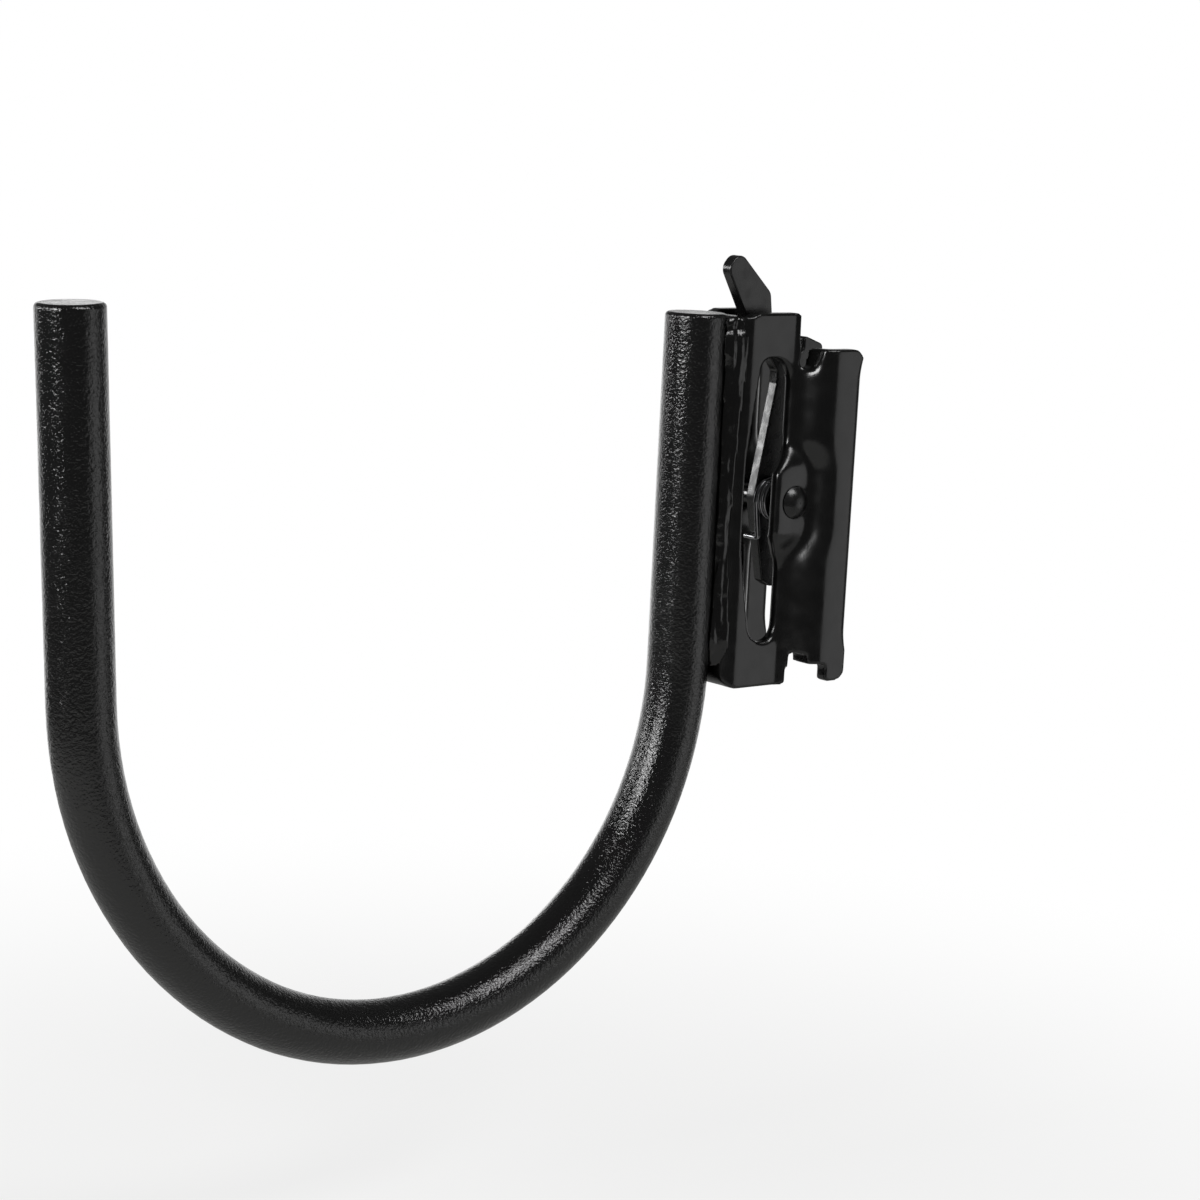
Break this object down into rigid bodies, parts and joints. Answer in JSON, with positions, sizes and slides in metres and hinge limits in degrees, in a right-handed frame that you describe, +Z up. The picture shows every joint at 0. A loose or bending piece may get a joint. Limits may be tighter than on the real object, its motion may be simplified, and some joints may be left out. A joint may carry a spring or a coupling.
{
  "type": "storage hook",
  "caption": "Black steel J hook welded to a folded fitting with a sprung latch, for hanging gear on a slotted wall rail.",
  "frame": {"origin": "middle of the rail slot on the rail's front face", "axes": "+X along the rail, +Y into the wall, +Z up; the hook reaches out along -Y"},
  "size_m": [0.0238, 0.1617, 0.1377],
  "materials": {
    "textured_coat": "black textured powder coat on round steel bar",
    "gloss_coat": "smooth glossy black coat on folded steel sheet",
    "weld_coat": "glossy black coat over rippled weld beads",
    "lever_coat": "glossy black coat on stamped steel",
    "spring_wire": "black oiled spring wire"
  },
  "bodies": {
    "fitting": {"fitting_body": "gloss_coat", "hook_bar": "textured_coat", "weld_right": "weld_coat", "weld_left": "weld_coat", "pivot_rivet": "gloss_coat", "spacer_right": "gloss_coat", "spacer_left": "gloss_coat", "torsion_spring": "spring_wire"},
    "latch": {"latch_lever": "lever_coat"}
  },
  "joints": [
    {"name": "latch_pivot", "type": "hinge", "parent": "fitting", "child": "latch", "pos_m": [0, -0.0036, 0.0011], "axis": [-1, 0, 0], "range_deg": [0, 8.5], "stiffness_Nm_per_rad": 0.8, "springref_deg": -11.46, "deforming": ["torsion_spring"]}
  ]
}
